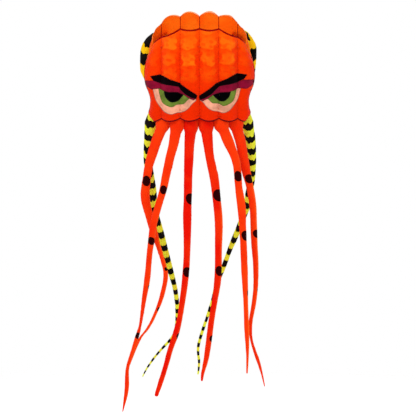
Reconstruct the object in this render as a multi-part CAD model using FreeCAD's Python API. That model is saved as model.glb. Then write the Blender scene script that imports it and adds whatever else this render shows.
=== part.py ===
import FreeCAD
import Part

import math
import os

# Octopus kite: a soft ram-air kite with no frame.  Air enters the open crown of the
# head, fills six cells side by side and runs on into eight hanging tentacles.
# Millimetres.  +Z is up, -Y points at the flyer and +X is the flyer's right.
# The origin is the eye of the centre bridle loop, the point the kite hangs from.

# ---- driving dimensions ----------------------------------------------------------
CLOTH = 2.0              # modelled thickness of every cloth skin
RIB_THICKNESS = 2.0
SEAM_GAP = 0.5           # free gap between a skin panel and the rib beside it
OUTER_SEAM_GAP = 5.0     # the same in the outer cells, whose skin leans over the rib
SIDE_SEAM_GAP = 7.5      # free gap between a skin panel and the side seam
LAYER = 0.8              # thickness of one sewn-on layer of cloth
LAYER_GAP = 0.6          # free gap under a sewn-on layer
RIB_X = (-383.0, -193.0, 0.0, 193.0, 383.0)
RIB_SWEEP = (60.0, 15.0, 0.0, 15.0, 60.0)       # how far each rib stands back
RIB_DEPTH = (0.85, 1.0, 1.0, 1.0, 0.85)         # depth of each rib, centre rib = 1
LIP_Z = (110.0, 190.0, 190.0, 190.0, 110.0)     # top of the face at each rib
CROWN_Z = (232.0, 300.0, 300.0, 300.0, 232.0)   # front of the crown at each rib
CHIN_Z = -716.0
EDGE_TOP_Z = 21.0
EDGE_BOTTOM_Z = -705.0
EDGE_SWEEP = 150.0       # the side seams stand this far back
FACE_NOSE_Y = 3.0        # foremost line of the face
FACE_CAMBER = 50.0       # how far lip and chin stand behind the foremost line
FACE_SWELL = 40.0        # how far each face cell balloons forward
BACK_SWELL = 46.0
LIP_SAG = 30.0           # how far the lip hangs between two ribs
CHIN_SAG = 24.0
OUTER_CHIN_SAG = 10.0

# Half width of the head by height, (z, half width), from the chin up.
EDGE_HALF_WIDTH = (
    (-705, 465), (-685, 495), (-650, 512), (-600, 499), (-520, 493), (-450, 510),
    (-380, 538), (-300, 553), (-200, 549), (-120, 531), (-40, 490), (21, 450),
)
# Profile of the crown and back along the centre rib, (y, z), from the crown down.
BACK_PROFILE = (
    (58, 300), (120, 314), (220, 285), (300, 190), (345, 40), (345, -130),
    (300, -320), (235, -520), (175, -718),
)
# Heights on the side seam that belong to the same nine places.
EDGE_LADDER = (21, 0, -30, -70, -140, -250, -390, -545, -705)
RIB_END = 0.97           # ribs stop short of the chin, above the tentacle roots
INTAKE_SCOOP = 20.0      # the front edge of each rib is cut back by this much
CROSSPORTS = ((190, 120, 48), (190, -110, 48), (165, -350, 42), (130, -550, 30))

# ---- tapes, piping and loops -----------------------------------------------------
TAPE_SHARE = 0.015       # width of the binding tapes, as a share of a panel's length
PIPING_RADIUS = 2.5
LOOP_EYE_RADIUS = 6.0
LOOP_WALL = 3.0
LOOP_WIDTH = 12.0
LOOP_TAB_END = 13.5      # from the eye back to the end of the wide tab
LOOP_STEM_GAP = 2.0      # free gap between the sewn-in stem and the rib
UPPER_LOOP_RIBS = (0, 2, 4)
LOWER_LOOP_RIBS = (1, 2, 3)
LOWER_LOOP_Z = -684.0

# ---- tentacles -------------------------------------------------------------------
FLATNESS = 0.62          # depth of a tentacle divided by its width
ROOT_Z = -765.0
MIDDLE_Z = -1700.0
LOWER_Z = -2600.0
NEST_STEP = 3.5          # a segment's top is this much slimmer than the one above
RIM_MARGIN = 2.0
STEP_LENGTH = 75.0       # spacing of the sections along a tentacle

# Centre line and half width of each tentacle, (x, z, half width), from the root down.
TENTACLES = {
    "tentacle_1": (
        (-365, -765, 62), (-434, -940, 55), (-504, -1160, 46), (-532, -1336, 43),
        (-547, -1500, 46), (-505, -1680, 42), (-471, -1805, 40), (-425, -1960, 28),
        (-370, -2137, 24), (-338, -2286, 24), (-380, -2500, 23), (-431, -2640, 18),
        (-512, -2810, 16), (-575, -2880, 15), (-650, -3030, 14), (-705, -3190, 7),
    ),
    "tentacle_2": (
        (-225, -765, 62), (-257, -950, 50), (-310, -1160, 45), (-365, -1430, 38),
        (-430, -1650, 37), (-465, -1800, 36), (-480, -1940, 35), (-497, -2030, 29),
        (-520, -2310, 30), (-542, -2447, 26), (-571, -2640, 20), (-593, -2790, 14),
        (-620, -2880, 20), (-668, -3040, 20), (-722, -3216, 17), (-728, -3420, 23),
        (-769, -3650, 5),
    ),
    "tentacle_3": (
        (-85, -765, 62), (-100, -950, 52), (-112, -1200, 45), (-116, -1450, 41),
        (-123, -1750, 42), (-124, -2010, 34), (-137, -2257, 33), (-163, -2480, 31),
        (-191, -2676, 27), (-240, -2880, 33), (-297, -3040, 28), (-348, -3227, 26),
        (-393, -3365, 26), (-437, -3500, 20),
    ),
    "tentacle_4": (
        (65, -765, 62), (78, -900, 54), (103, -1100, 44), (149, -1326, 46),
        (175, -1540, 41), (195, -1754, 41), (190, -2010, 36), (185, -2310, 35),
        (155, -2527, 30), (121, -2730, 29), (85, -2998, 30), (58, -3170, 23),
        (34, -3240, 19), (23, -3348, 10),
    ),
    "tentacle_5": (
        (215, -765, 62), (295, -960, 56), (367, -1140, 42), (392, -1397, 37),
        (420, -1600, 42), (430, -1750, 36), (442, -2010, 33), (451, -2270, 32),
        (463, -2570, 24), (474, -2850, 24), (480, -3080, 14), (475, -3267, 8),
    ),
    "tentacle_6": (
        (365, -765, 62), (423, -1000, 52), (465, -1230, 46), (505, -1397, 36),
        (538, -1600, 36), (543, -1754, 33), (553, -2010, 32), (565, -2160, 28),
        (563, -2420, 23), (539, -2620, 23), (515, -2730, 20), (515, -2906, 15),
        (537, -2998, 15), (585, -3135, 18), (620, -3250, 11), (655, -3405, 5),
    ),
    "left_striped_arm": (
        (-495, -765, 60), (-509, -918, 51), (-520, -1040, 45), (-522, -1140, 43),
        (-495, -1330, 42), (-476, -1448, 43), (-470, -1600, 40), (-420, -1775, 37),
        (-395, -1857, 35), (-354, -2020, 33), (-298, -2240, 32), (-261, -2366, 24),
        (-235, -2504, 23), (-225, -2640, 20), (-230, -2780, 18), (-250, -2880, 18),
        (-300, -2950, 17), (-355, -3005, 15), (-422, -3078, 14), (-474, -3147, 12),
        (-522, -3210, 11), (-579, -3320, 6),
    ),
    "right_striped_arm": (
        (485, -765, 58), (513, -918, 52), (532, -1100, 42), (528, -1224, 38),
        (525, -1326, 36), (495, -1480, 35), (480, -1600, 34), (450, -1680, 33),
        (395, -1816, 32), (350, -1928, 31), (310, -2020, 26), (256, -2170, 25),
        (220, -2260, 24), (165, -2410, 22), (135, -2550, 20), (101, -2640, 19),
        (67, -2745, 15), (34, -2837, 16), (6, -2929, 15), (-14, -2998, 14),
        (-16, -3078, 12), (-3, -3170, 12), (-17, -3296, 8),
    ),
}
# Depth of each tentacle behind the origin, (z, y), from the tip up.
FRONT_ROW = ((-3700, 60), (-1500, 62), (-1000, 85), (-765, 114))
PLUMB_ROW = ((-3700, 114), (-765, 114))
MIDDLE_ROW = ((-3700, 165), (-765, 165))
REAR_ROW = ((-3700, 330), (-1800, 325), (-1200, 302), (-765, 294))
ROWS = {
    "tentacle_1": MIDDLE_ROW, "tentacle_2": FRONT_ROW, "tentacle_3": PLUMB_ROW,
    "tentacle_4": PLUMB_ROW, "tentacle_5": FRONT_ROW, "tentacle_6": MIDDLE_ROW,
    "left_striped_arm": REAR_ROW, "right_striped_arm": REAR_ROW,
}
SIDEWAYS = ("tentacle_1", "tentacle_6")   # these swing sideways, the rest fore and aft
SWING = math.radians(45)                  # largest swing that the open rims allow for
SIDEWAYS_SWING = math.radians(57)         # the same with the slant of the sideways pair

# Striped arms along the shoulders, (x, y, z, radius), from behind the crown down.
LEFT_SHOULDER = (
    (-340, 390, 200, 44), (-406, 392, 155, 46), (-457, 390, 113, 48), (-503, 384, 77, 50),
    (-527, 374, 39, 50), (-545, 364, 6, 50), (-552, 354, -43, 50), (-554, 342, -134, 50),
    (-550, 336, -215, 50), (-535, 330, -305, 50), (-508, 315, -430, 54),
    (-497, 300, -580, 58), (-495, 294, -765, 60),
)
RIGHT_SHOULDER = (
    (340, 390, 190, 44), (400, 392, 163, 46), (446, 391, 138, 47), (484, 388, 112, 48),
    (508, 380, 85, 50), (525, 366, 32, 50), (527, 357, -43, 50), (529, 352, -97, 50),
    (519, 347, -188, 50), (507, 343, -262, 50), (500, 319, -430, 52),
    (488, 302, -580, 56), (485, 294, -765, 58),
)

# ---- outlines of the left eye, (x, z); the right eye is the mirror image ----------
BROW = (
    (-491, -293), (-392, -275), (-356, -295), (-295, -329), (-198, -362), (-127, -420),
    (-25, -487), (-38, -520), (-81, -510), (-142, -474), (-213, -397), (-326, -382),
    (-387, -362), (-458, -336),
)
EYELID = (
    (-562, -336), (-453, -336), (-387, -357), (-326, -377), (-213, -392), (-142, -469),
    (-81, -503), (-38, -514), (-60, -535), (-110, -512), (-162, -474), (-224, -453),
    (-305, -453), (-356, -438), (-397, -413), (-479, -420), (-525, -387),
)
EYE_WHITE = (
    (-458, -400), (-453, -479), (-433, -540), (-392, -601), (-346, -652), (-285, -675),
    (-224, -658), (-173, -652), (-122, -627), (-71, -571), (-35, -525), (-130, -470),
    (-224, -430), (-330, -420),
)
IRIS = (
    (-402, -405), (-397, -479), (-372, -550), (-326, -586), (-275, -601), (-224, -576),
    (-162, -571), (-127, -540), (-95, -500), (-162, -455), (-224, -430), (-320, -425),
)
PUPIL = (
    (-348, -430), (-341, -494), (-305, -540), (-264, -553), (-213, -535), (-155, -467),
    (-224, -440), (-290, -436),
)
EYE_LAYERS = (("eye_white", EYE_WHITE), ("iris", IRIS), ("pupil", PUPIL),
              ("eyelid", EYELID), ("eyebrow", BROW))

EYE_SPAN = (0.3, 0.98)   # share of the face's length that the eye layers are cut from

CELLS = 6
LEFT_EDGE = 0
RIGHT_EDGE = 6
FINE = 1e-3


def vec(x, y, z):
    return FreeCAD.Vector(x, y, z)


def mix(start, end, share):
    return start * (1.0 - share) + end * share


def slope_at(table, i):
    """Slope of the smooth curve through a table of (key, value) at its row i."""
    before = max(i - 1, 0)
    after = min(i + 1, len(table) - 1)
    return (table[after][1] - table[before][1]) / float(table[after][0] - table[before][0])


def smooth(table, key):
    """Value at a key on the smooth curve through (key, value) rows in rising order."""
    i = 0
    while i < len(table) - 2 and key > table[i + 1][0]:
        i += 1
    width = float(table[i + 1][0] - table[i][0])
    t = min(max((key - table[i][0]) / width, 0.0), 1.0)
    rise = table[i][1] * (1 + 2 * t) * (1 - t) ** 2 + table[i + 1][1] * t * t * (3 - 2 * t)
    turn = slope_at(table, i) * t * (1 - t) ** 2 - slope_at(table, i + 1) * t * t * (1 - t)
    return rise + turn * width


def arch(u):
    """0 at both sides of a cell and 1 in its middle."""
    return 4.0 * u * (1.0 - u)


# ---- the head's surfaces ----------------------------------------------------------
def camber(v):
    return FACE_NOSE_Y + FACE_CAMBER * (2.0 * v - 1.0) ** 2


def edge_point(side, v):
    z = mix(EDGE_TOP_Z, EDGE_BOTTOM_Z, v)
    return vec(side * smooth(EDGE_HALF_WIDTH, z), camber(v) + EDGE_SWEEP, z)


def face_seam(seam, v):
    """Point of the face on seam 0 to 6, from v = 0 at the lip to v = 1 at the chin."""
    if seam == LEFT_EDGE:
        return edge_point(-1, v)
    if seam == RIGHT_EDGE:
        return edge_point(1, v)
    rib = seam - 1
    return vec(RIB_X[rib], camber(v) + RIB_SWEEP[rib], mix(LIP_Z[rib], CHIN_Z, v))


def rib_place(rib, y, z):
    """Place a point of the centre rib's plan on another rib."""
    front = FACE_NOSE_Y + FACE_CAMBER
    depth = front + RIB_SWEEP[rib] + (y - front) * RIB_DEPTH[rib]
    share = (z - CHIN_Z) / (CROWN_Z[2] - CHIN_Z)
    return vec(RIB_X[rib], depth, mix(CHIN_Z, CROWN_Z[rib], share))


def back_seam(seam, v):
    """Point of the back on seam 0 to 6, from v = 0 at the crown to v = 1 at the chin."""
    place = v * (len(BACK_PROFILE) - 1)
    if seam in (LEFT_EDGE, RIGHT_EDGE):
        z = smooth(tuple(enumerate(EDGE_LADDER)), place)
        share = (EDGE_TOP_Z - z) / (EDGE_TOP_Z - EDGE_BOTTOM_Z)
        return edge_point(-1 if seam == LEFT_EDGE else 1, share)
    y = smooth(tuple((i, p[0]) for i, p in enumerate(BACK_PROFILE)), place)
    z = smooth(tuple((i, p[1]) for i, p in enumerate(BACK_PROFILE)), place)
    return rib_place(seam - 1, y, z)


def across(seam_of, cell, v):
    """Chord of a cell from seam to seam, and its unit normal."""
    chord = seam_of(cell + 1, v) - seam_of(cell, v)
    low = max(v - FINE, 0.0)
    high = min(v + FINE, 1.0)
    down = (seam_of(cell, high) + seam_of(cell + 1, high)
            - seam_of(cell, low) - seam_of(cell + 1, low))
    normal = chord.cross(down)
    normal.normalize()
    return chord, normal


def face_point(cell, u, v, lift):
    """Point of a face cell, lifted off the cloth by lift."""
    chord, normal = across(face_seam, cell, v)
    chin_sag = OUTER_CHIN_SAG if cell in (0, CELLS - 1) else CHIN_SAG
    sag = LIP_SAG * (1.0 - v) ** 2 + chin_sag * v * v
    point = face_seam(cell, v) + chord * u
    point = point - normal * (FACE_SWELL * arch(u) + lift)
    return point - vec(0, 0, sag * arch(u))


def back_point(cell, u, v, lift):
    chord, normal = across(back_seam, cell, v)
    return back_seam(cell, v) + chord * u + normal * (BACK_SWELL * arch(u) + lift)


def cell_margins(seam_of, cell):
    """The span of u that a panel covers between the ribs or side seam beside it."""
    width = seam_of(cell + 1, 0.5).sub(seam_of(cell, 0.5)).Length
    seam_gap = OUTER_SEAM_GAP if cell in (0, CELLS - 1) else SEAM_GAP
    beside_rib = (RIB_THICKNESS / 2.0 + seam_gap) / width
    beside_edge = SIDE_SEAM_GAP / width
    start = beside_edge if cell == 0 else beside_rib
    end = beside_edge if cell == CELLS - 1 else beside_rib
    return start, 1.0 - end


def spread(start, end, count):
    return [mix(start, end, i / float(count - 1)) for i in range(count)]


def slab(point_of, us, vs, near, far, v_from, v_to):
    """Closed solid between two lifted copies of one curved patch, cut to a share of v."""
    faces = []
    rims = []
    for lift in (near, far):
        surface = Part.BSplineSurface()
        surface.interpolate([[point_of(u, v, lift) for v in vs] for u in us])
        u0, u1, v0, v1 = surface.bounds()
        surface.segment(u0, u1, mix(v0, v1, v_from), mix(v0, v1, v_to))
        u0, u1, v0, v1 = surface.bounds()
        faces.append(surface.toShape())
        rims.append([surface.vIso(v0).toShape(), surface.uIso(u1).toShape(),
                     surface.vIso(v1).toShape(), surface.uIso(u0).toShape()])
    for inner, outer in zip(rims[0], rims[1]):
        faces.append(Part.makeRuledSurface(inner, outer))
    shell = Part.makeShell(faces)
    shell.sewShape()
    solid = Part.makeSolid(shell)
    if solid.Volume < 0:
        solid.reverse()
    return solid


def panel(point_of, seam_of, cell, near, far, v_from=0.0, v_to=1.0):
    """Patch of one cell's skin between two shares of its length and two lifts."""
    u0, u1 = cell_margins(seam_of, cell)
    return slab(lambda u, v, lift: point_of(cell, u, v, lift),
                spread(u0, u1, 9), spread(0.0, 1.0, 31), near, far, v_from, v_to)


# ---- sub-parts of the head ----------------------------------------------------------
def face_gore(cell):
    return panel(face_point, face_seam, cell, -CLOTH, 0.0)


def back_gore(cell):
    return panel(back_point, back_seam, cell, -CLOTH, 0.0)


def rib_plate(rib):
    """Cloth wall between two cells, with round holes that let air cross."""
    seam = rib + 1
    front = Part.BSplineCurve()
    front.interpolate([face_seam(seam, v) for v in spread(0.0, RIB_END, 9)])
    back = Part.BSplineCurve()
    back.interpolate([back_seam(seam, v) for v in spread(0.0, RIB_END, 17)])
    scoop = (face_seam(seam, 0.0) + back_seam(seam, 0.0)) * 0.5 + vec(0, INTAKE_SCOOP, 0)
    bottom = Part.LineSegment(face_seam(seam, RIB_END), back_seam(seam, RIB_END))
    intake = Part.Arc(back_seam(seam, 0.0), scoop, face_seam(seam, 0.0))
    wire = Part.Wire([front.toShape(), bottom.toShape(), back.toShape(), intake.toShape()])
    plate = Part.Face(wire).extrude(vec(RIB_THICKNESS, 0, 0))
    plate.translate(vec(-RIB_THICKNESS / 2.0, 0, 0))
    for y, z, radius in CROSSPORTS:
        centre = rib_place(rib, y, z) - vec(RIB_THICKNESS, 0, 0)
        plate = plate.cut(Part.makeCylinder(radius * RIB_DEPTH[rib], RIB_THICKNESS * 2.0,
                                            centre, vec(1, 0, 0)))
    return plate


def face_tape(v_from, v_to):
    """Binding tape on the face in six lengths, one on each cell."""
    lengths = [panel(face_point, face_seam, cell, LAYER_GAP, LAYER_GAP + LAYER, v_from, v_to)
               for cell in range(CELLS)]
    return Part.makeCompound(lengths)


def intake_lip_tape():
    return face_tape(0.0, TAPE_SHARE)


def chin_tape():
    return face_tape(1.0 - TAPE_SHARE, 1.0)


def crown_tape():
    """Binding tape on the crown's edge in six lengths, folded double and so thicker."""
    lengths = [panel(back_point, back_seam, cell, LAYER_GAP, LAYER_GAP + CLOTH, 0.0, TAPE_SHARE)
               for cell in range(CELLS)]
    return Part.makeCompound(lengths)


def tube(sections):
    """Solid tube through level ellipses (x, y, z, half width, half depth)."""
    wires = []
    for x, y, z, half_width, half_depth in sections:
        outline = Part.Ellipse(vec(x, y, z), half_width, half_depth)
        wires.append(Part.Wire([outline.toShape()]))
    return Part.makeLoft(wires, True, True)


def side_piping():
    """Cord piping sewn into the left and right side seams."""
    pipes = []
    for side in (-1, 1):
        points = [edge_point(side, v) for v in spread(0.0, 1.0, 19)]
        sections = [(p.x, p.y, p.z, PIPING_RADIUS * 1.01, PIPING_RADIUS) for p in points]
        pipes.append(tube(sections))
    return Part.makeCompound(pipes)


def loop_eye(rib, z):
    """Centre of a bridle loop's eye, in front of a rib at height z."""
    stand_off = camber(LIP_Z[2] / (LIP_Z[2] - CHIN_Z))
    share = (LIP_Z[rib] - z) / (LIP_Z[rib] - CHIN_Z)
    return vec(RIB_X[rib], camber(share) + RIB_SWEEP[rib] - stand_off, z)


def bridle_loop(rib, z):
    """Webbing folded round an upright eye, its two ends sewn into the seam of a rib."""
    eye = loop_eye(rib, z)
    stem_end = camber(LIP_Z[2] / (LIP_Z[2] - CHIN_Z)) - LOOP_STEM_GAP
    low = eye - vec(0, 0, LOOP_WIDTH / 2.0)
    loop = Part.makeCylinder(LOOP_EYE_RADIUS + LOOP_WALL, LOOP_WIDTH, low)
    tab = Part.makeBox(2 * LOOP_WALL, LOOP_TAB_END, LOOP_WIDTH, low - vec(LOOP_WALL, 0, 0))
    stem = Part.makeBox(RIB_THICKNESS, stem_end, LOOP_WIDTH,
                        low - vec(RIB_THICKNESS / 2.0, 0, 0))
    hole = Part.makeCylinder(LOOP_EYE_RADIUS, 2 * LOOP_WIDTH, eye - vec(0, 0, LOOP_WIDTH))
    return loop.fuse(tab).fuse(stem).cut(hole)


def bridle_loops():
    """Three loops across the brow line and three, closer together, above the chin."""
    loops = [bridle_loop(rib, 0.0) for rib in UPPER_LOOP_RIBS]
    loops += [bridle_loop(rib, LOWER_LOOP_Z) for rib in LOWER_LOOP_RIBS]
    return Part.makeCompound(loops)


def eye_patch(outline, level, side):
    """One sewn-on layer of an eye, in a piece for each cell that it crosses."""
    points = [vec(-side * x, -400, z) for x, z in outline]
    curve = Part.BSplineCurve()
    curve.interpolate(points, PeriodicFlag=True)
    cutter = Part.Face(Part.Wire([curve.toShape()])).extrude(vec(0, 800, 0))
    near = LAYER_GAP + level * (LAYER + LAYER_GAP)
    cells = (0, 1, 2) if side < 0 else (3, 4, 5)
    pieces = []
    for cell in cells:
        layer = panel(face_point, face_seam, cell, near, near + LAYER, *EYE_SPAN)
        piece = layer.common(cutter)
        pieces += piece.Solids
    return Part.makeCompound(pieces)


# ---- tentacles ------------------------------------------------------------------------
def column(table, key_at, value_at):
    """Rising (key, value) rows from two columns of a table that falls in z."""
    return tuple((row[key_at], row[value_at]) for row in reversed(table))


def arm_section(name, z, slim):
    """Level ellipse of a tentacle at height z, slimmer all round by slim."""
    table = TENTACLES[name]
    half_width = smooth(column(table, 1, 2), z)
    return (smooth(column(table, 1, 0), z), smooth(ROWS[name], z), z,
            half_width - slim, half_width * FLATNESS - slim)


def dome(name, z, slim):
    """Sections of the round top of a segment that turns about its centre at z."""
    x, y, z, half_width, half_depth = arm_section(name, z, slim)
    height = half_width if name in SIDEWAYS else half_depth
    sections = []
    for degrees in (80, 62, 45, 30, 15):
        angle = math.radians(degrees)
        sections.append((x, y, z + height * math.sin(angle),
                         half_width * math.cos(angle), half_depth * math.cos(angle)))
    return sections


def rim_height(name, z):
    """How far a segment's open rim stands above the pivot of the next segment."""
    x, y, z, half_width, half_depth = arm_section(name, z, 0.0)
    if name in SIDEWAYS:
        return half_width * math.tan(SIDEWAYS_SWING / 2.0) + RIM_MARGIN
    return half_depth * math.tan(SWING / 2.0) + RIM_MARGIN


def segment_sections(name, top_z, end_z, wall):
    """Sections of a segment below its pivot, with its slimmer neck."""
    count = max(int((top_z - end_z) / STEP_LENGTH), 3) + 1
    heights = [top_z, top_z - 15.0] + spread(top_z - 75.0, end_z, count)
    sections = []
    for z in heights:
        neck = min(max((z - top_z + 75.0) / 60.0, 0.0), 1.0)
        sections.append(arm_section(name, z, NEST_STEP * neck + wall))
    return sections


def open_segment(name, top_z, next_z):
    """Cloth tube with a round closed top and an open rim over the next pivot."""
    rim = next_z + rim_height(name, next_z)
    outside = tube(dome(name, top_z, NEST_STEP) + segment_sections(name, top_z, rim, 0.0))
    slim = NEST_STEP + CLOTH
    inside = tube(dome(name, top_z, slim) + segment_sections(name, top_z, rim - 1.0, CLOTH))
    return outside.cut(inside)


def tip_segment(name, top_z):
    """Cloth tube with a round closed top and a closed tip."""
    tip_z = TENTACLES[name][-1][1]
    wide_rows = [row for row in TENTACLES[name] if row[2] >= 12]
    air_end = wide_rows[-1][1] + 20.0
    outside = tube(dome(name, top_z, NEST_STEP) + segment_sections(name, top_z, tip_z, 0.0))
    slim = NEST_STEP + CLOTH
    inside = tube(dome(name, top_z, slim) + segment_sections(name, top_z, air_end, CLOTH))
    return outside.cut(inside)


def shoulder_section(route, z, wall):
    """Level ellipse across a shoulder tube at height z, widened where it slants."""
    x = smooth(column(route, 2, 0), z)
    y = smooth(column(route, 2, 1), z)
    radius = smooth(column(route, 2, 3), z)
    slant = (smooth(column(route, 2, 0), z + 5.0) - smooth(column(route, 2, 0), z - 5.0)) / 10.0
    half_width = radius * math.sqrt(1.0 + slant * slant)
    return (x, y, z, half_width - wall, radius * FLATNESS - wall)


def shoulder(name, route):
    """Striped tube down the back of the head, closed at the top and open at the root."""
    rim = ROOT_Z + rim_height(name, ROOT_Z)
    top = route[0][2]
    solids = []
    for wall in (0.0, CLOTH):
        x, y, z, half_width, half_depth = shoulder_section(route, top, wall)
        cap = []
        for degrees in (75, 50, 25):
            angle = math.radians(degrees)
            cap.append((x, y, z + half_depth * math.sin(angle),
                        half_width * math.cos(angle), half_depth * math.cos(angle)))
        end = rim if wall == 0.0 else rim - 1.0
        solids.append(tube(cap + [shoulder_section(route, height, wall)
                                  for height in spread(top, end, 17)]))
    return solids[0].cut(solids[1])


# ---- all nodes ------------------------------------------------------------------------
def all_nodes():
    nodes = {}
    for cell in range(CELLS):
        nodes["face_gore_%d" % (cell + 1)] = face_gore(cell)
        nodes["back_gore_%d" % (cell + 1)] = back_gore(cell)
    for rib in range(len(RIB_X)):
        nodes["rib_%d" % (rib + 1)] = rib_plate(rib)
    nodes["intake_lip_tape"] = intake_lip_tape()
    nodes["crown_tape"] = crown_tape()
    nodes["chin_tape"] = chin_tape()
    nodes["side_piping"] = side_piping()
    nodes["bridle_loops"] = bridle_loops()
    for level, (layer_name, outline) in enumerate(EYE_LAYERS):
        nodes["left_" + layer_name] = eye_patch(outline, level, -1)
        nodes["right_" + layer_name] = eye_patch(outline, level, 1)
    nodes["left_striped_shoulder"] = shoulder("left_striped_arm", LEFT_SHOULDER)
    nodes["right_striped_shoulder"] = shoulder("right_striped_arm", RIGHT_SHOULDER)
    for name in TENTACLES:
        nodes[name + "_upper"] = open_segment(name, ROOT_Z, MIDDLE_Z)
        nodes[name + "_middle"] = open_segment(name, MIDDLE_Z, LOWER_Z)
        nodes[name + "_lower"] = tip_segment(name, LOWER_Z)
    return nodes


def main():
    os.makedirs("parts", exist_ok=True)
    for name, shape in all_nodes().items():
        shape.exportStep("parts/%s.step" % name)
        print("%-28s valid %s  solids %d  volume %.1f cm3" % (
            name, shape.isValid(), len(shape.Solids), shape.Volume / 1000.0))


main()
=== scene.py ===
import math

import bmesh
import bpy
import numpy as np
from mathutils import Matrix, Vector
from mathutils.bvhtree import BVHTree
from mathutils.geometry import delaunay_2d_cdt


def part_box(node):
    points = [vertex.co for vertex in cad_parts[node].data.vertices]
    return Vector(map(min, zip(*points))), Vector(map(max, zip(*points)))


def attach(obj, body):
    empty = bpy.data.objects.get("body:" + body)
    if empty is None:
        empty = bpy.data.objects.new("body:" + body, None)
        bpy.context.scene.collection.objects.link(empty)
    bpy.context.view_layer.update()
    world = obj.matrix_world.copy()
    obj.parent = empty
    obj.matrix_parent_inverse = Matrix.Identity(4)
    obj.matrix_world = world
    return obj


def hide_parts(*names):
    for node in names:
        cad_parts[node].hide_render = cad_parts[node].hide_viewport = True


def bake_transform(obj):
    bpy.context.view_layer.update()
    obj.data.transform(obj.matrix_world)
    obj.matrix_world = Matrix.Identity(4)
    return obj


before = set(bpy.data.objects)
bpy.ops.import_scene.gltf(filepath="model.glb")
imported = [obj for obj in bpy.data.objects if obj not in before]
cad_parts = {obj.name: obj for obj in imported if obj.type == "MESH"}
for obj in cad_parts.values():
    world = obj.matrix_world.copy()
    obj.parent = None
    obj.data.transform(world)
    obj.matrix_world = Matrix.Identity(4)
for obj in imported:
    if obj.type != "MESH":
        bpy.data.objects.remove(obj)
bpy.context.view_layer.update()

# Octopus kite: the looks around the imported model.  The head's skins, ribs, tapes and eyes
# ride on the head; every tentacle is three lengths of cloth tube, one across each hinge.
# Sizes here are millimetres until a mesh is made; +Z up, -Y at the flyer.

MM = 0.001
CELLS = 6
RIBS = 5
SIDES = (("left", -1), ("right", 1))


def box_mm(node):
    low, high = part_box(node)
    return np.array(low) / MM, np.array(high) / MM


# ---- sizes of the head, read from the frame where it holds them -----
RIB_X = [float(sum(box_mm("rib_%d" % n))[0] / 2) for n in range(1, RIBS + 1)]
NOSE_Y = 3.0
RIB_SWEEP = (60.0, 15.0, 0.0, 15.0, 60.0)
RIB_DEPTH = (0.85, 1.0, 1.0, 1.0, 0.85)
LIP_Z = (110.0, 190.0, 190.0, 190.0, 110.0)
CROWN_Z = (232.0, 300.0, 300.0, 300.0, 232.0)
CHIN_Z = -716.0
EDGE_TOP_Z = 21.0
EDGE_BOTTOM_Z = -705.0
EDGE_SWEEP = 150.0
CAMBER = 50.0
FACE_SWELL = 40.0
BACK_SWELL = 46.0
LIP_SAG = 30.0
CHIN_SAG = (10.0, 24.0, 24.0, 24.0, 24.0, 10.0)
EDGE_HALF_WIDTH = (
    (-705, 465), (-685, 495), (-650, 512), (-600, 499), (-520, 493), (-450, 510),
    (-380, 538), (-300, 553), (-200, 549), (-120, 531), (-40, 490), (21, 450),
)
BACK_PROFILE = (
    (58, 300), (120, 314), (220, 285), (300, 190), (345, 40), (345, -130),
    (300, -320), (235, -520), (175, -718),
)
EDGE_LADDER = (21, 0, -30, -70, -140, -250, -390, -545, -705)
RIB_END = 0.97
SCOOP = 20.0
CROSSPORTS = ((190, 120, 48), (190, -110, 48), (165, -350, 42), (130, -550, 30))


# ---- numbers --------------------------------------------------------
def smooth(table, key):
    """Value at a key on the smooth curve through (key, value) rows in rising order."""
    keys, values = (np.array(column, float) for column in zip(*table))
    slopes = np.empty(len(keys))
    slopes[1:-1] = (values[2:] - values[:-2]) / (keys[2:] - keys[:-2])
    slopes[0] = (values[1] - values[0]) / (keys[1] - keys[0])
    slopes[-1] = (values[-1] - values[-2]) / (keys[-1] - keys[-2])
    key = np.asarray(key, float)
    i = np.clip(np.searchsorted(keys, key) - 1, 0, len(keys) - 2)
    width = keys[i + 1] - keys[i]
    t = np.clip((key - keys[i]) / width, 0, 1)
    rise = values[i] * (1 + 2 * t) * (1 - t) ** 2 + values[i + 1] * t * t * (3 - 2 * t)
    return rise + width * (slopes[i] * t * (1 - t) ** 2 - slopes[i + 1] * t * t * (1 - t))


def step(low, high, value):
    """0 below low, 1 above high, with soft ends."""
    t = np.clip((value - low) / (high - low), 0, 1)
    return t * t * (3 - 2 * t)


def arch(u):
    return 4 * u * (1 - u)


def unit(vectors):
    return vectors / np.linalg.norm(vectors, axis=-1, keepdims=True)


def waves(points, length, seed, count=7):
    """Seeded sum of soft waves through space, mostly between -1 and 1."""
    rng = np.random.default_rng(seed)
    total = 0.0
    for _ in range(count):
        direction = unit(rng.normal(size=points.shape[-1]))
        wavelength = length * rng.uniform(0.6, 1.7)
        total = total + np.sin(points @ direction * 2 * np.pi / wavelength
                               + rng.uniform(0, 2 * np.pi))
    return total * 1.2 / count ** 0.5


def path_length(points, axis=0):
    """Distance along rows or columns of points from the first one."""
    steps = np.linalg.norm(np.diff(points, axis=axis), axis=-1)
    return np.insert(np.cumsum(steps, axis=axis), 0, 0, axis=axis)


def normals_of(grid):
    """Unit normals of a grid of points."""
    down = np.gradient(grid, axis=0)
    across = np.gradient(grid, axis=1)
    return unit(np.cross(across, down))


# ---- the head's surfaces, the same as the model's -------------------
def point_rows(x, y, z):
    """Points from their coordinates, any of them one number for all."""
    return np.stack(np.broadcast_arrays(x, y, z), -1).astype(float)


def camber(v):
    """How far back the face's middle seam lies."""
    return NOSE_Y + CAMBER * (2 * v - 1) ** 2


def edge_seam(side, v):
    z = EDGE_TOP_Z + (EDGE_BOTTOM_Z - EDGE_TOP_Z) * v
    return point_rows(side * smooth(EDGE_HALF_WIDTH, z), camber(v) + EDGE_SWEEP, z)


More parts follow.
